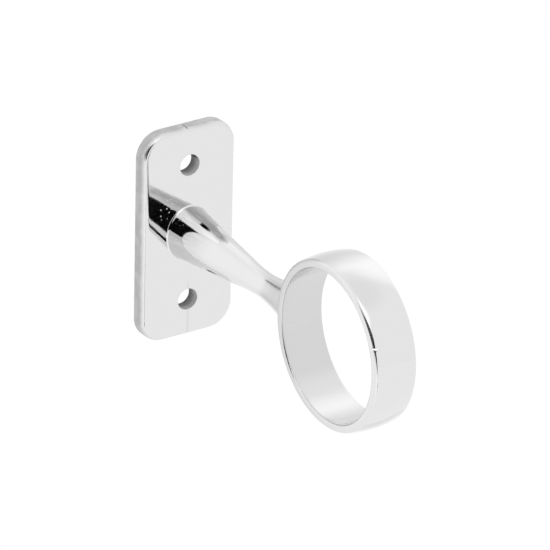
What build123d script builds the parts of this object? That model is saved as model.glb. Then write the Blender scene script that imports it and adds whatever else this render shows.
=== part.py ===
from build123d import *
import os

# Centre pole bracket: one casting with a wall plate, a tapered stem and a closed pole ring.
# Millimetres. The origin is the middle of the plate's back face, which lies on the wall at Y = 0.
# +Z is up, the stem leaves the wall along -Y and the pole lies along X.

# What the bracket is made for
pole_diameter = 25.0
pole_clearance = 1.0  # on the diameter, so the ring slides along the pole
screw_diameter = 3.5
screw_clearance = 0.2  # on the diameter
wall_to_pole_axis = 49.5

# Wall plate
plate_width = 18.0
plate_height = 38.0
plate_thickness = 2.5
plate_corner_radius = 4.4
plate_edge_radius = 0.9  # round along the front outline
screw_spacing = 24.7
screw_mouth_chamfer = 0.15  # edge break at the front of each hole

# Stem: an ellipse in section, taller than it is wide
stem_root_width = 8.4
stem_root_height = 9.6
stem_neck_height = 5.5  # where the straight taper ends
stem_waist_height = 4.55  # the thinnest place
stem_neck_to_waist = 6.6
stem_waist_to_ring = 8.7  # from the waist to the crown of the ring
stem_mouth_inset = 0.95  # rim of the ring left bare on each side of the stem
stem_mouth_flare = 9.0  # degrees that the outline opens by at the ring
stem_root_fillet = 0.35
stem_ring_fillet = 0.6

# Pole ring: flat bore, crowned outside
ring_width = 8.0
ring_rim_wall = 1.35  # wall at the two faces
ring_crown_rise = 0.45  # extra wall at mid width
ring_edge_radius = 0.5  # round along the outer edges
ring_bore_edge_radius = 0.4  # round along the bore's edges

# Sizes that follow
bore_radius = (pole_diameter + pole_clearance) / 2
hole_radius = (screw_diameter + screw_clearance) / 2
rim_radius = bore_radius + ring_rim_wall
crown_radius = rim_radius + ring_crown_rise
half_width = ring_width / 2
ring_place = Pos(0, -wall_to_pole_axis, 0)
stem_section = stem_root_width / stem_root_height
stem_mouth_height = (ring_width - 2 * stem_mouth_inset) / stem_section
rim_round = min(ring_edge_radius, 0.45 * ring_rim_wall)
bore_round = min(ring_bore_edge_radius, 0.45 * ring_rim_wall)

# Wall plate, back face on the wall
plate_outline = RectangleRounded(plate_width, plate_height, plate_corner_radius)
plate = extrude(Plane.XZ * plate_outline, plate_thickness)
plate_front = plate.faces().sort_by(Axis.Y)[0]
plate = fillet(plate_front.edges(), plate_edge_radius)

# Stem: the outline is turned about Y, then narrowed across X to the ellipse.
# It starts inside the plate and ends inside the ring's wall.
root = Vector(stem_root_height / 2, -plate_thickness)
mouth = Vector(stem_mouth_height / 2, crown_radius - wall_to_pole_axis)
waist = Vector(stem_waist_height / 2, mouth.Y + stem_waist_to_ring)
neck = Vector(stem_neck_height / 2, waist.Y + stem_neck_to_waist)
taper_way = (neck - root).normalized()
mouth_way = Vector(0, -1).rotate(Axis.Z, stem_mouth_flare)
head = root - taper_way * plate_thickness / 2
tail = mouth + mouth_way * (crown_radius - bore_radius)
stem_outline = Spline(head, root, neck, waist, mouth, tail, tangents=[taper_way, mouth_way])
stem_core = Polyline(tail, (0, tail.Y), (0, head.Y), head)
stem = revolve(make_face(stem_outline + stem_core), Axis.Y)
stem = scale(stem, by=(stem_section, 1, 1))

# Ring blank: a crowned disc that is bored once the stem is on it, with its seam away from the stem
crown = ThreePointArc((-half_width, -rim_radius), (0, -crown_radius), (half_width, -rim_radius))
faces = Polyline((half_width, -rim_radius), (half_width, 0), (-half_width, 0), (-half_width, -rim_radius))
disc = revolve(make_face(crown + faces), Axis.X)
disc = ring_place * fillet(disc.edges().filter_by(GeomType.CIRCLE), rim_round)

# One casting, with the stem blended into the plate and the ring
arm = plate + stem
arm = fillet(new_edges(plate, stem, combined=arm), stem_root_fillet)
blank = arm + disc
blank = fillet(new_edges(arm, disc, combined=blank), stem_ring_fillet)

# Pole bore, with rounded edges
bore = ring_place * Rot(0, 90, 0) * Cylinder(bore_radius, 2 * ring_width)
bored = blank - bore
bored = fillet(new_edges(blank, bore, combined=bored), bore_round)

# Screw holes, above and below the stem
hole = Rot(90, 0, 0) * Cylinder(hole_radius, 4 * plate_thickness)
holes = [Pos(0, 0, z) * hole for z in (-screw_spacing / 2, screw_spacing / 2)]
bracket = bored - holes
hole_mouths = new_edges(bored, *holes, combined=bracket).group_by(Axis.Y)[0]
bracket = chamfer(hole_mouths, screw_mouth_chamfer)

os.makedirs("parts", exist_ok=True)
export_step(bracket, "parts/bracket_casting.step")
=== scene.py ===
import math

import bpy
from mathutils import Euler, Matrix, Vector


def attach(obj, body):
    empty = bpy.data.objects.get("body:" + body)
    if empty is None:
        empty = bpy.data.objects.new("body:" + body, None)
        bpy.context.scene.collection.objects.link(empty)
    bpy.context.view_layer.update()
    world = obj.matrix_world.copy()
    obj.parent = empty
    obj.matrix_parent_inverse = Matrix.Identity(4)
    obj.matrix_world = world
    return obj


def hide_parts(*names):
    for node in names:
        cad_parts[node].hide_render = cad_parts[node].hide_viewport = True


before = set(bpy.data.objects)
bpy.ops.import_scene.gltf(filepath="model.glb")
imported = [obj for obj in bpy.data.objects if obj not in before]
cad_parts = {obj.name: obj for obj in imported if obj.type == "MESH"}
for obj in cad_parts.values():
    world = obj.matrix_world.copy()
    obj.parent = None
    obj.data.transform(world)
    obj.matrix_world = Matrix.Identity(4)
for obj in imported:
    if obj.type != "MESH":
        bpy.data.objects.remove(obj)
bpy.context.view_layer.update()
mm = 0.001
near = 0.01  # mm: places closer than this are the same
mergeGap = 0.0005 * mm  # points closer than this become one
print("frame", len(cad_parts), "node")


def toLinear(hexColour):
    channels = [int(hexColour[i:i + 2], 16) / 255 for i in (1, 3, 5)]
    return [c / 12.92 if c <= 0.04045 else ((c + 0.055) / 1.055) ** 2.4 for c in channels] + [1.0]


def addNode(tree, kind, output, settings=None, inputs=None, links=None):  # gives back one output socket
    node = tree.nodes.new(kind)
    for name, value in (settings or {}).items():
        setattr(node, name, value)
    for name, value in (inputs or {}).items():
        node.inputs[name].default_value = value
    for name, socket in (links or {}).items():
        tree.links.new(socket, node.inputs[name])
    return node.outputs[output]


def startPiece():
    if bpy.context.object and bpy.context.object.mode != "OBJECT":
        bpy.ops.object.mode_set(mode="OBJECT")
    bpy.ops.object.select_all(action="DESELECT")


def namePiece(name):
    piece = bpy.context.object
    piece.name = name
    piece.data.name = name
    bpy.ops.object.transform_apply(location=True, rotation=True, scale=True)
    return piece


# The test gets the two ends of an edge, in mm. Edges that pass are left selected, in edit mode.
def pickEdges(piece, test):
    bpy.context.view_layer.objects.active = piece
    bpy.ops.object.mode_set(mode="EDIT")
    bpy.ops.mesh.select_mode(type="EDGE")
    bpy.ops.mesh.select_all(action="DESELECT")
    bpy.ops.object.mode_set(mode="OBJECT")
    points = [v.co / mm for v in piece.data.vertices]
    for edge in piece.data.edges:
        edge.select = test(points[edge.vertices[0]], points[edge.vertices[1]])
    bpy.ops.object.mode_set(mode="EDIT")


def roundOff(radius, steps, profile=0.5, affect="EDGES"):  # whatever is selected in edit mode
    bpy.ops.mesh.bevel(offset=radius * mm, segments=steps, profile=profile, affect=affect, clamp_overlap=False)


def combine(piece, tool, operation):
    startPiece()
    bpy.context.view_layer.objects.active = piece
    step = piece.modifiers.new(operation, "BOOLEAN")
    step.operation = operation
    step.object = tool
    step.solver = "EXACT"
    bpy.ops.object.modifier_apply(modifier=step.name)
    bpy.data.objects.remove(tool, do_unlink=True)


# Wall plate: a block with rounded corners, a rounded front outline and two screw holes
plateSize = {
    "width": 18.0, "height": 38.0, "thickness": 2.5,
    "cornerRadius": 4.4, "cornerSteps": 24,
    "edgeReach": 1.15, "edgeProfile": 0.594, "edgeSteps": 14,  # a 0.9 mm round, with the soft start that buffing leaves
    "holeRadius": 1.85, "holeSpacing": 24.7, "holeSides": 96,
    "holeBreak": 0.15, "breakSteps": 2,  # edge break at the front of each hole
    "nickSize": (0.24, 1.5, 0.8), "nickAt": (-0.3, -1.35, 19.22), "nickTilt": 8,  # in the top edge
}


def makePlate(size):
    front = -size["thickness"]
    startPiece()
    bpy.ops.mesh.primitive_cube_add(size=1, location=(0, front / 2 * mm, 0))
    bpy.ops.transform.resize(value=(size["width"] * mm, size["thickness"] * mm, size["height"] * mm))
    plate = namePiece("wallPlate")
    pickEdges(plate, lambda a, b: abs(a.y - b.y) > near)
    roundOff(size["cornerRadius"], size["cornerSteps"])
    pickEdges(plate, lambda a, b: abs(a.y - front) < near and abs(b.y - front) < near)
    roundOff(size["edgeReach"], size["edgeSteps"], size["edgeProfile"])
    for z in (-size["holeSpacing"] / 2, size["holeSpacing"] / 2):
        startPiece()
        bpy.ops.mesh.primitive_cylinder_add(vertices=size["holeSides"], radius=size["holeRadius"] * mm,
                                            depth=8 * size["thickness"] * mm,  # well past both faces
                                            location=(0, 0, z * mm), rotation=(math.pi / 2, 0, 0))
        combine(plate, namePiece("holeTool"), "DIFFERENCE")
        middle = Vector((0, front, z))
        pickEdges(plate, lambda a, b: all(abs((end - middle).length - size["holeRadius"]) < near for end in (a, b)))
        roundOff(size["holeBreak"], size["breakSteps"])
    startPiece()
    bpy.ops.mesh.primitive_cube_add(size=1, location=Vector(size["nickAt"]) * mm,
                                    rotation=(math.radians(size["nickTilt"]), 0, 0))
    bpy.context.object.scale = Vector(size["nickSize"]) * mm
    combine(plate, namePiece("nickTool"), "DIFFERENCE")
    print("plate", len(plate.data.polygons), "faces")
    return plate


# Pole ring: the D section is drawn once and spun round the pole's axis
ringSize = {
    "poleAxis": 49.5, "boreRadius": 13.0, "width": 8.0, "rimWall": 1.35, "crownRise": 0.45,
    "outerRound": 0.5, "boreRound": 0.25, "roundSteps": 8, "crownCuts": 19, "steps": 320,
    # notch knocked into the outer edge: its bottom, the way it points and the cube that cuts it
    "chipAt": (-3.56, -62.72, 5.25), "chipTurn": -40, "chipTilt": 48, "chipSize": 2.0,
}


def crownAt(size, x):
    return size["crownRise"] * (1 - (2 * x / size["width"]) ** 2)


def makeRing(size):
    inner = -size["poleAxis"] - size["boreRadius"]
    outer = inner - size["rimWall"]
    startPiece()
    bpy.ops.mesh.primitive_plane_add(size=1, location=(0, (inner + outer) / 2 * mm, 0))
    bpy.ops.transform.resize(value=(size["width"] * mm, size["rimWall"] * mm, 1))
    ring = namePiece("poleRing")
    for edge, radius in ((inner, size["boreRound"]), (outer, size["outerRound"])):
        bpy.ops.object.mode_set(mode="EDIT")
        bpy.ops.mesh.select_mode(type="VERT")
        bpy.ops.mesh.select_all(action="DESELECT")
        bpy.ops.object.mode_set(mode="OBJECT")
        for vertex in ring.data.vertices:
            vertex.select = abs(vertex.co.y / mm - edge) < near
        bpy.ops.object.mode_set(mode="EDIT")
        roundOff(radius, size["roundSteps"], affect="VERTICES")
        pickEdges(ring, lambda a, b: abs(a.x - b.x) > size["width"] / 4 and abs(a.y - edge) < near)
        bpy.ops.mesh.subdivide(number_cuts=size["crownCuts"])
    bpy.ops.object.mode_set(mode="OBJECT")
    for vertex in ring.data.vertices:  # the crown grows from nothing at the bore to its full rise outside
        share = (inner - vertex.co.y / mm) / size["rimWall"]
        vertex.co.y -= share * crownAt(size, vertex.co.x / mm) * mm
    bpy.ops.object.mode_set(mode="EDIT")
    bpy.ops.mesh.select_all(action="SELECT")
    bpy.ops.mesh.delete(type="ONLY_FACE")
    bpy.ops.mesh.select_all(action="SELECT")
    bpy.ops.mesh.spin(steps=size["steps"], angle=2 * math.pi, center=(0, -size["poleAxis"] * mm, 0), axis=(1, 0, 0))
    bpy.ops.mesh.select_all(action="SELECT")
    bpy.ops.mesh.remove_doubles(threshold=mergeGap)
    bpy.ops.mesh.normals_make_consistent(inside=False)
    chipWay = Euler((math.radians(size["chipTilt"]), 0, math.radians(size["chipTurn"])))
    chipMiddle = Vector((0, -size["chipSize"] / 2, size["chipSize"] / 2))  # from the notch's bottom
    chipMiddle.rotate(chipWay)
    startPiece()
    bpy.ops.mesh.primitive_cube_add(size=size["chipSize"] * mm, rotation=chipWay,
                                    location=(Vector(size["chipAt"]) + chipMiddle) * mm)
    combine(ring, namePiece("chipTool"), "DIFFERENCE")
    print("ring", len(ring.data.polygons), "faces")
    return ring


# Stem: an ellipse drawn out along -Y, with a small blend at the plate and another at the ring
stemSize = {
    "sides": 160, "widthShare": 0.875,  # width over height of the ellipse
    # stations: distance from the wall, half height
    "outline": [(2.5, 4.80), (7.0, 4.254), (11.0, 3.768), (15.0, 3.283), (18.0, 2.919), (20.5, 2.618),
                (22.0, 2.455), (23.5, 2.331), (25.0, 2.270), (26.0, 2.275), (27.0, 2.323), (28.0, 2.410),
                (30.0, 2.675), (32.0, 3.012), (34.7, 3.486)],
    "loopsPerStation": 5,
    # each blend starts or ends a little under the face that it meets, and keeps a gap to the plain stem
    "rootBlend": 0.35, "rootSteps": 8, "rootSink": 0.02, "rootGap": 0.2,
    "mouthBlend": 0.6, "mouthSteps": 8, "mouthSink": 0.03, "mouthGap": 1.2, "mouthLean": 80, "mouthTrials": 6,
}


def outlineAt(size, y):  # half height, on a smooth curve through the stations
    stations = size["outline"]
    last = len(stations) - 1
    i = max(0, min(last - 1, sum(1 for station in stations if station[0] <= y) - 1))

    def slope(k):
        a, b = stations[max(0, k - 1)], stations[min(last, k + 1)]
        return (b[1] - a[1]) / (b[0] - a[0])

    (y0, r0), (y1, r1) = stations[i], stations[i + 1]
    w = y1 - y0
    t = (y - y0) / w
    return ((2 * t ** 3 - 3 * t ** 2 + 1) * r0 + (t ** 3 - 2 * t ** 2 + t) * w * slope(i)
            + (3 * t ** 2 - 2 * t ** 3) * r1 + (t ** 3 - t ** 2) * w * slope(i + 1))


def makeStem(size):
    share, blend, stations = size["widthShare"], size["rootBlend"], size["outline"]
    plateFront = stations[0][0]
    mouthStart, mouth = stations[-1][0] - size["mouthGap"], stations[-1][1]
    loops = []  # distance from the wall, half height, half width
    for k in range(size["rootSteps"] + 1):  # quarter round at the root
        angle = k / size["rootSteps"] * math.pi / 2
        y = plateFront + blend * (1 - math.cos(angle)) - size["rootSink"]
        grow = blend * (1 - math.sin(angle))
        radius = outlineAt(size, y)
        loops.append((y, radius + grow, radius * share + grow))
    for here, after in zip(stations, stations[1:]):
        for k in range(size["loopsPerStation"]):
            y = here[0] + (after[0] - here[0]) * k / size["loopsPerStation"]
            if plateFront + blend + size["rootGap"] < y < mouthStart:
                loops.append((y, outlineAt(size, y), outlineAt(size, y) * share))
    mouthLoop = len(loops)
    for k in range(size["mouthSteps"] + 1):  # straight until they are settled on the ring
        loops.append((mouthStart + size["mouthGap"] * k / size["mouthSteps"], mouth, mouth * share))
    startPiece()
    y, tall, wide = loops[0]
    bpy.ops.mesh.primitive_circle_add(vertices=size["sides"], radius=1, location=(0, -y * mm, 0),
                                      rotation=(math.pi / 2, 0, 0))
    bpy.ops.transform.resize(value=(wide * mm, 1, tall * mm))
    stem = namePiece("stem")
    bpy.ops.object.mode_set(mode="EDIT")
    bpy.ops.mesh.select_mode(type="VERT")
    bpy.ops.mesh.select_all(action="SELECT")
    for nextY, nextTall, nextWide in loops[1:]:
        bpy.ops.mesh.extrude_region_move(TRANSFORM_OT_translate={"value": (0, (y - nextY) * mm, 0)})
        bpy.ops.transform.resize(value=(nextWide / wide, 1, nextTall / tall), center_override=(0, -nextY * mm, 0))
        y, tall, wide = nextY, nextTall, nextWide
    bpy.ops.object.mode_set(mode="OBJECT")
    settleMouth(size, stem, mouthLoop)
    bpy.ops.object.mode_set(mode="EDIT")
    bpy.ops.mesh.select_all(action="SELECT")
    bpy.ops.mesh.fill_holes(sides=0)
    bpy.ops.mesh.select_all(action="SELECT")
    bpy.ops.mesh.normals_make_consistent(inside=False)
    startPiece()
    print("stem", len(stem.data.polygons), "faces")
    return stem


def settleMouth(size, stem, mouthLoop):  # the last loops turn outwards and lie down on the ring
    share, blend, sides, steps = size["widthShare"], size["mouthBlend"], size["sides"], size["mouthSteps"]
    end = size["outline"][-1][0]
    for k in range(steps + 1):
        lean = k / steps * math.radians(size["mouthLean"])
        lift = blend * (1 - math.sin(lean)) if k < steps else -size["mouthSink"]
        grow = blend * (1 - math.cos(lean))
        for i in range(sides):
            vertex = stem.data.vertices[(mouthLoop + k) * sides + i]
            turn = math.atan2(vertex.co.z, vertex.co.x / share)
            y = end - blend
            for trial in range(size["mouthTrials"]):  # where the plain stem would meet the ring's outside
                radius = outlineAt(size, min(y, end))
                x, z = radius * share * math.cos(turn), radius * math.sin(turn)
                y = ringFace(x, z) - lift
            x += grow * math.cos(turn)
            z += grow * math.sin(turn)
            vertex.co = Vector((x, -(ringFace(x, z) - lift), z)) * mm


def ringFace(x, z):  # distance from the wall to the ring's outside, on the wall side
    radius = ringSize["boreRadius"] + ringSize["rimWall"] + crownAt(ringSize, x)
    return ringSize["poleAxis"] - math.sqrt(radius ** 2 - z ** 2)


# One casting from the three forms
castingShade = {"sharpAngle": 35, "normalWeight": 50}
casting = makePlate(plateSize)
ring = makeRing(ringSize)
stem = makeStem(stemSize)
combine(casting, stem, "UNION")
combine(casting, ring, "UNION")
casting.name = casting.data.name = "bracketCasting"
startPiece()
bpy.context.view_layer.objects.active = casting
casting.select_set(True)
bpy.ops.object.mode_set(mode="EDIT")
bpy.ops.mesh.select_all(action="SELECT")
bpy.ops.mesh.remove_doubles(threshold=mergeGap)
bpy.ops.object.mode_set(mode="OBJECT")
bpy.ops.object.shade_smooth_by_angle(angle=math.radians(castingShade["sharpAngle"]))
step = casting.modifiers.new("evenNormals", "WEIGHTED_NORMAL")
step.keep_sharp = True
step.weight = castingShade["normalWeight"]
bpy.ops.object.modifier_apply(modifier=step.name)
print("casting", len(casting.data.polygons), "faces")

# Polished chrome plating on a zinc casting: the show faces are buffed to a grey mirror. The bore and the ring's two
# faces are smoother than cast but no mirror, and the plate's edges and back keep the dull, cloudy skin of the casting.
# The bore is brighter low down, and the ring's faces carry painted shade that darkens them towards the wall. On the
# stem, painted shade greys the mirror towards its root, more on its upper side, and in streaks along its top near the
# parting line and on to the ring. The buff thins out where the stem meets the ring. The screw holes carry painted
# shade, darker towards the back, and the roof of the upper hole is painted nearly black.
holeRadius, holeAxis = plateSize["holeRadius"], plateSize["holeSpacing"] / 2
chromeLook = {
    "mirror": "#E3E3E3",
    # tone of each zone, laid over those before it
    # painted shade: the three stem greys (towards its root and in two streaks along its top), the two darker hole
    # tones, and the satin tone where it lies on the ring's faces
    "tones": {"satinAndShade": "#D4D4D4", "crestShade": "#CACACA", "root": "#C3C3C3", "ridgeShade": "#A8A8A8", "seam": "#DBDBDB",
              "skin": "#D6D6D6", "mottle": "#CBCBCB", "hole": "#D6D6D6", "holeShade": "#868686", "roofShade": "#101010"},
    "polish": 0.06,  # roughness of the mirror
    "roughness": {"bore": 0.18, "edge": 0.21, "flare": 0.20, "dull": 0.85},
    # soft ramps: what is measured, where the ramp starts and is full, in mm, and what it starts from if not nothing;
    # along is 0 at the wall and falls towards the pole
    "ramps": {
        # plate: the skin on its edges and back, the two holes with their painted shade, the die's mark and the patch of
        # pinholes
        "plate": ("along", -3.01, -2.99),
        "skin": ("along", -2.50, -1.70),
        "hole": ("holeReach", holeRadius + plateSize["holeBreak"], holeRadius + 0.02),
        # painted shade in the holes: darker towards the back, and the upper hole's roof nearly black
        "holeShade": ("along", -2.3, -0.1),
        "roofShade": ("height", holeAxis + 0.3, holeAxis + 0.9),
        "roofShadeRun": ("along", -2.4, -1.7),
        "seam": ("seamReach", 0.36, 0.10),
        "seamRun": ("height", -8.5, -10.0),
        "patch": ("pitReach", 2.3, 1.8),
        # ring: the bore, the two faces and the rounds beside them
        "ring": ("along", -33.99, -34.01),
        "offRing": ("along", -34.01, -33.99),
        "bore": ("poleReach", 13.06, 13.01),
        "upperBore": ("height", -11.0, -8.8),  # the bore is brighter below it
        "face": ("sideways", 3.92, 3.99),
        # painted shade on the ring's faces, deeper towards the wall
        "faceShade": ("along", -62.0, -36.0),
        "edge": ("sideways", 3.4, 3.7),
        # stem: painted shade, greyer towards its root and in streaks along its top; less smooth towards the ring
        "stem": ("along", -2.55, -3.0),
        # painted shade on the stem, deepening towards its root
        "root": ("along", -14.0, -5.0),
        "upper": ("height", 0.3, 2.0, 0.68),  # the painted shade is lighter on the underside than on the upper side
        # painted shade: a dark streak along the top near the parting line, close to the root
        "ridgeShade": ("ridgeShadeReach", 1.3, 0.3),
        "ridgeShadeRun": ("along", -15.5, -12.5),
        # painted shade: a grey streak along the stem's top that runs on to the ring
        "crestShade": ("crestShadeReach", 1.2, 0.4),
        "crestShadeRun": ("along", -3.0, -9.0),
        "crestShadeEnd": ("along", -34.0, -31.0),
        "flare": ("along", -26.0, -28.5),
    },
    "dullRamp": (-2.50, -1.60),  # even ramp along, for the roughness of the skin
    # x of the die's mark down the plate, of the painted shade along the top near the root
    # and of the painted grey streak that runs on to the ring
    "lines": {"seam": 0.06, "ridgeShade": -0.25, "crestShade": 0.9},
    # cloudy patches in the skin, streaks that break up the stem's painted shade, buffing waves, and cast grain drawn
    # coarser than the real one so that it shows: size across, along and up in mm, detail
    "noise": {"mottle": ((1.6, 1.6, 1.6), 3.0), "streaks": ((0.35, 4.0, 0.35), 2.0),
              "waves": ((2.6, 2.6, 2.6), 1.0), "grain": ((0.35, 0.35, 0.35), 2.0)},
    "mottleRange": (0.35, 0.65), "streakRange": (0.3, 0.7), "streakShare": (0.6, 1.2),
    "waveDepth": 0.012, "grainDepth": 0.010,
    "pitSpacing": 0.85, "pitRadius": 0.14, "pitDepth": 0.06, "pitShare": 0.50,  # pinholes in the plating
    "pitMiddle": (-4.8, -2.5, 5.6),  # of the patch that they are in
}


def finishChrome(look):
    chrome = bpy.data.materials.new("polishedChromePlating")
    chrome.use_nodes = True
    tree = chrome.node_tree
    shader = tree.nodes["Principled BSDF"]
    soft = {"interpolation_type": "SMOOTHSTEP"}
    place = addNode(tree, "ShaderNodeTexCoord", "Object")

    # What the ramps measure: places along the axes, and distances from axes, lines and the patch of pinholes
    reach = {}
    for name, axis in (("across", "X"), ("along", "Y"), ("height", "Z")):
        reach[name] = addNode(tree, "ShaderNodeSeparateXYZ", axis, links={"Vector": place})
    reach["sideways"] = addNode(tree, "ShaderNodeMath", "Value", {"operation": "ABSOLUTE"}, links={0: reach["across"]})
    for name, x in look["lines"].items():
        offset = addNode(tree, "ShaderNodeMath", "Value", {"operation": "SUBTRACT"}, {1: x * mm}, {0: reach["across"]})
        reach[name + "Reach"] = addNode(tree, "ShaderNodeMath", "Value", {"operation": "ABSOLUTE"}, links={0: offset})
    folded = addNode(tree, "ShaderNodeVectorMath", "Vector", {"operation": "ABSOLUTE"}, links={0: place})
    for name, point, keep, shift in (("holeReach", folded, (1, 0, 1), (0, 0, -holeAxis)),  # both holes at once
                                     ("poleReach", place, (0, 1, 1), (0, ringSize["poleAxis"], 0))):
        offset = addNode(tree, "ShaderNodeVectorMath", "Vector", {"operation": "MULTIPLY_ADD"},
                         {1: keep, 2: Vector(shift) * mm}, {0: point})
        reach[name] = addNode(tree, "ShaderNodeVectorMath", "Value", {"operation": "LENGTH"}, links={0: offset})
    reach["pitReach"] = addNode(tree, "ShaderNodeVectorMath", "Value", {"operation": "DISTANCE"},
                                {1: Vector(look["pitMiddle"]) * mm}, {0: place})

    # Ramps and noise
    share = {}
    for name, (measure, start, full, *least) in look["ramps"].items():
        share[name] = addNode(tree, "ShaderNodeMapRange", "Result", soft,
                              {"From Min": start * mm, "From Max": full * mm, "To Min": least[0] if least else 0},
                              {"Value": reach[measure]})
    share["dull"] = addNode(tree, "ShaderNodeMapRange", "Result", None,
                            {"From Min": look["dullRamp"][0] * mm, "From Max": look["dullRamp"][1] * mm},
                            {"Value": reach["along"]})
    noise = {}
    for name, (size, detail) in look["noise"].items():
        stretched = addNode(tree, "ShaderNodeVectorMath", "Vector", {"operation": "MULTIPLY"},
                            {1: [1 / (s * mm) for s in size]}, {0: place})
        noise[name] = addNode(tree, "ShaderNodeTexNoise", "Fac", inputs={"Scale": 1.0, "Detail": detail},
                              links={"Vector": stretched})
    share["mottle"] = addNode(tree, "ShaderNodeMapRange", "Result", soft,
                              {"From Min": look["mottleRange"][0], "From Max": look["mottleRange"][1]},
                              {"Value": noise["mottle"]})
    share["streaks"] = addNode(tree, "ShaderNodeMapRange", "Result", None,
                               {"From Min": look["streakRange"][0], "From Max": look["streakRange"][1],
                                "To Min": look["streakShare"][0], "To Max": look["streakShare"][1]},
                               {"Value": noise["streaks"]})

    # Pinholes: a hollow in the middle of some of the cells of a pattern on the plate's front
    front = addNode(tree, "ShaderNodeCombineXYZ", "Vector", links={"X": reach["across"], "Y": reach["height"]})
    cells = {"settings": {"voronoi_dimensions": "2D"}, "inputs": {"Scale": 1 / (look["pitSpacing"] * mm)},
             "links": {"Vector": front}}
    hollow = addNode(tree, "ShaderNodeTexVoronoi", "Distance", **cells)
    share["pits"] = addNode(tree, "ShaderNodeMapRange", "Result", soft,
                            {"From Min": look["pitRadius"] / look["pitSpacing"], "From Max": 0.0}, {"Value": hollow})
    draw = addNode(tree, "ShaderNodeTexVoronoi", "Color", **cells)
    share["chosen"] = addNode(tree, "ShaderNodeMath", "Value", {"operation": "LESS_THAN"},
                              {1: look["pitShare"]}, {0: draw})

    # Zones: the first share of each row is cut down by the others
    # the three stem rows and the two dark hole rows hold painted shade, and so does the ring's face row
    for name, *others in (("hole", "plate"), ("holeShade", "hole"), ("roofShade", "roofShadeRun", "hole"),
                          ("seam", "seamRun", "plate"), ("pits", "chosen", "patch", "plate"), ("mottle", "skin"),
                          ("upperBore", "bore"), ("face", "ring"), ("edge", "ring"), ("flare", "offRing"),
                          ("root", "upper", "stem", "streaks"), ("ridgeShade", "ridgeShadeRun", "stem", "streaks"),
                          ("crestShade", "crestShadeRun", "crestShadeEnd", "stem", "streaks")):
        for other in others:
            share[name] = addNode(tree, "ShaderNodeMath", "Value", {"operation": "MULTIPLY", "use_clamp": True},
                                  links={0: share[name], 1: share[other]})
    # the bore's satin, and painted shade on the ring's faces that deepens towards the wall
    share["satinAndShade"] = addNode(tree, "ShaderNodeMath", "Value", {"operation": "MULTIPLY_ADD"},
                             links={0: share["face"], 1: share["faceShade"], 2: share["upperBore"]})
    share["dull"] = addNode(tree, "ShaderNodeMath", "Value", {"operation": "MAXIMUM"},
                            links={0: share["dull"], 1: share["hole"]})
    share["unbuffed"] = addNode(tree, "ShaderNodeMath", "Value", {"operation": "MAXIMUM"},
                                links={0: share["bore"], 1: share["skin"]})

    # Tone and polish, from the mirror on
    tone = None
    for name, hexColour in look["tones"].items():
        links = {0: share[name], 6: tone} if tone else {0: share[name]}
        tone = addNode(tree, "ShaderNodeMix", 2, {"data_type": "RGBA"},
                       {6: toLinear(look["mirror"]), 7: toLinear(hexColour)}, links)
    tree.links.new(tone, shader.inputs["Base Color"])
    rough = None
    for name, value in look["roughness"].items():
        links = {0: share[name], 2: rough} if rough else {0: share[name]}
        rough = addNode(tree, "ShaderNodeMath", "Value", {"operation": "MULTIPLY_ADD"},
                        {1: value - look["polish"], 2: look["polish"]}, links)
    tree.links.new(rough, shader.inputs["Roughness"])
    shader.inputs["Metallic"].default_value = 1.0

    # Relief: slow waves left by buffing, the pinholes, and grain where nothing was buffed
    relief = addNode(tree, "ShaderNodeBump", "Normal", None, {"Strength": 1.0, "Distance": look["waveDepth"] * mm},
                     {"Height": noise["waves"]})
    relief = addNode(tree, "ShaderNodeBump", "Normal", {"invert": True},
                     {"Strength": 1.0, "Distance": look["pitDepth"] * mm}, {"Height": share["pits"], "Normal": relief})
    relief = addNode(tree, "ShaderNodeBump", "Normal", None, {"Distance": look["grainDepth"] * mm},
                     {"Height": noise["grain"], "Strength": share["unbuffed"], "Normal": relief})
    tree.links.new(relief, shader.inputs["Normal"])
    return chrome


casting.data.materials.clear()
casting.data.materials.append(finishChrome(chromeLook))
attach(casting, "root")
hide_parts("bracket_casting")
print("finish", [m.name for m in casting.data.materials])


# A place that looks back at the bracket. Azimuth 0 is straight in front of the wall.
def standAt(azimuth, elevation, roll, distance):
    return (Matrix.Rotation(math.radians(azimuth), 4, "Z") @ Matrix.Rotation(math.radians(90 - elevation), 4, "X")
            @ Matrix.Rotation(math.radians(roll), 4, "Z") @ Matrix.Translation((0, 0, distance)))


def mixPaint(name, hexColour):  # matt paint, with no shine at all
    paint = bpy.data.materials.new(name)
    paint.use_nodes = True
    shader = paint.node_tree.nodes["Principled BSDF"]
    shader.inputs["Base Color"].default_value = toLinear(hexColour)
    shader.inputs["Roughness"].default_value = 1.0
    shader.inputs["Specular IOR Level"].default_value = 0.0
    return paint


# Pale floor, well below the bracket, which ends where the wall would stand
floorLook = {"size": 3.0, "middle": (0, -1.45, -0.5), "colour": "#FAFAFA"}
startPiece()
bpy.ops.mesh.primitive_plane_add(size=floorLook["size"], location=floorLook["middle"])
floor = namePiece("paleFloor")
floor.data.materials.append(mixPaint("paleFloorPaint", floorLook["colour"]))

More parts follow.
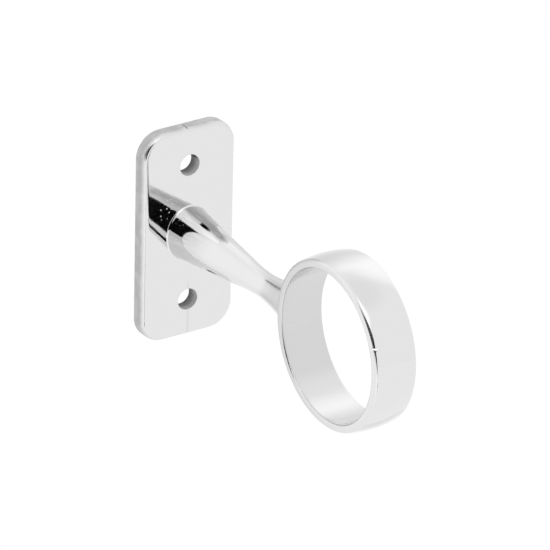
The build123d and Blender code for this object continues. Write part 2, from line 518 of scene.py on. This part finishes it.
# Black studio cards that the chrome mirrors: corners in metres across each card, seen from the bracket
cardLook = {
    "colour": "#040404",
    "cards": [
        {"azimuth": -32, "elevation": 12, "distance": 1.35,
         "corners": [(0.54, 0.10), (0.62, 0.40), (0.54, 0.50), (-0.21, 0.69), (-0.49, 0.72), (-1.00, 0.60),
                     (-1.00, -0.22), (-0.52, -0.38), (0.27, -0.83)]},
        {"azimuth": -84, "elevation": 12, "distance": 1.35,
         "corners": [(0.60, 0.44), (0.20, 0.40), (-0.12, 0.27), (-0.27, 0.10), (-0.38, -0.06), (-0.30, -0.22),
                     (0.10, -0.34), (0.60, -0.34)]},
        {"azimuth": -12.0, "elevation": -31.3, "distance": 0.75,
         "corners": [(0.016, 0.09), (-0.069, 0.032), (-0.016, -0.09), (0.069, -0.032)]},
    ],
}
cardPaint = mixPaint("blackCard", cardLook["colour"])
for look in cardLook["cards"]:
    startPiece()
    bpy.ops.mesh.primitive_circle_add(vertices=len(look["corners"]), fill_type="NGON")
    card = bpy.context.object
    for vertex, (across, up) in zip(card.data.vertices, look["corners"]):
        vertex.co = (across, up, 0)
    card.matrix_world = standAt(look["azimuth"], look["elevation"], 0, look["distance"])
    card = namePiece("blackCard")
    card.data.materials.append(cardPaint)
    card.visible_camera = False
    card.visible_diffuse = False
    card.visible_shadow = False
print("stage", floor.name, "and", len(cardLook["cards"]), "cards")

# Soft white light from all round, brighter and dimmer in a few directions, and a pool of light on the floor
lightLook = {
    "strength": 1.01,
    # azimuth, elevation, degrees to the inside and the outside of the soft edge, width over height, added strength
    "windows": [
        (-24, 54, 8, 28, 1.0, 0.56),
        (125, 32, 1, 32, 1.0, 0.22),
        (-174, -5, 19.5, 27.5, 0.7, -0.27),
        (164, 20, 12.5, 32.5, 1.0, -0.16),
        (141, -9, 8, 16.5, 1.0, -0.07),
        (-130, 10, 15, 55, 1.0, 0.08),
        (169, 44, 7.5, 23, 1.0, 0.09),
        (60, 76, 10, 30, 1.0, -0.07),
        (124, -57, 3, 14, 1.0, -0.09),
    ],
    "pool": {"middle": (-0.75, -0.85, -0.5), "height": 1.6, "spread": 62, "energy": 15, "softness": 0.3},
}
world = bpy.data.worlds.new("softWhiteRoom")
bpy.context.scene.world = world
world.use_nodes = True
tree = world.node_tree
way = addNode(tree, "ShaderNodeTexCoord", "Generated")
strength = None
for azimuth, elevation, inside, outside, squeeze, added in lightLook["windows"]:
    tall = Vector((1, 1, squeeze))
    towards = (standAt(azimuth, elevation, 0, 1).translation * tall).normalized()
    facing = addNode(tree, "ShaderNodeVectorMath", "Vector", {"operation": "MULTIPLY"}, {1: tall}, {0: way})
    facing = addNode(tree, "ShaderNodeVectorMath", "Vector", {"operation": "NORMALIZE"}, links={0: facing})
    facing = addNode(tree, "ShaderNodeVectorMath", "Value", {"operation": "DOT_PRODUCT"}, {1: towards}, {0: facing})
    glow = addNode(tree, "ShaderNodeMapRange", "Result", {"interpolation_type": "SMOOTHSTEP"},
                   {"From Min": math.cos(math.radians(outside)), "From Max": math.cos(math.radians(inside))},
                   {"Value": facing})
    links = {0: glow, 2: strength} if strength else {0: glow}
    strength = addNode(tree, "ShaderNodeMath", "Value", {"operation": "MULTIPLY_ADD"},
                       {1: added, 2: lightLook["strength"]}, links)
sky = tree.nodes["Background"]
sky.inputs["Color"].default_value = (1, 1, 1, 1)
tree.links.new(strength, sky.inputs["Strength"])
pool = lightLook["pool"]
startPiece()
bpy.ops.object.light_add(type="SPOT", location=Vector(pool["middle"]) + Vector((0, 0, pool["height"])))
lamp = bpy.context.object
lamp.name = lamp.data.name = "floorPool"
lamp.data.energy = pool["energy"]
lamp.data.spot_size = math.radians(pool["spread"])
lamp.data.spot_blend = 1.0
lamp.data.shadow_soft_size = pool["softness"]
lamp.visible_glossy = False  # only the floor shows it
print("light", len(lightLook["windows"]), "windows and", lamp.name)

# Camera at the photograph's angle
cameraPlace = {
    "azimuth": -33.913, "elevation": 25.982, "roll": 1.357, "distance": 1.08073,
    "aim": (0.010394, -0.013043, -0.006054), "lens": 425.4545, "sensor": 36, "clip": (0.01, 50),
}
cameraData = bpy.data.cameras.new("camera")
cameraData.lens = cameraPlace["lens"]
cameraData.sensor_width = cameraPlace["sensor"]
cameraData.clip_start, cameraData.clip_end = cameraPlace["clip"]
camera = bpy.data.objects.new("camera", cameraData)
bpy.context.scene.collection.objects.link(camera)
camera.matrix_world = (Matrix.Translation(Vector(cameraPlace["aim"]))
                       @ standAt(*[cameraPlace[k] for k in ("azimuth", "elevation", "roll", "distance")]))
bpy.context.scene.camera = camera
bpy.context.scene.view_settings.view_transform = "Standard"
print("camera", cameraPlace["lens"], "mm lens")
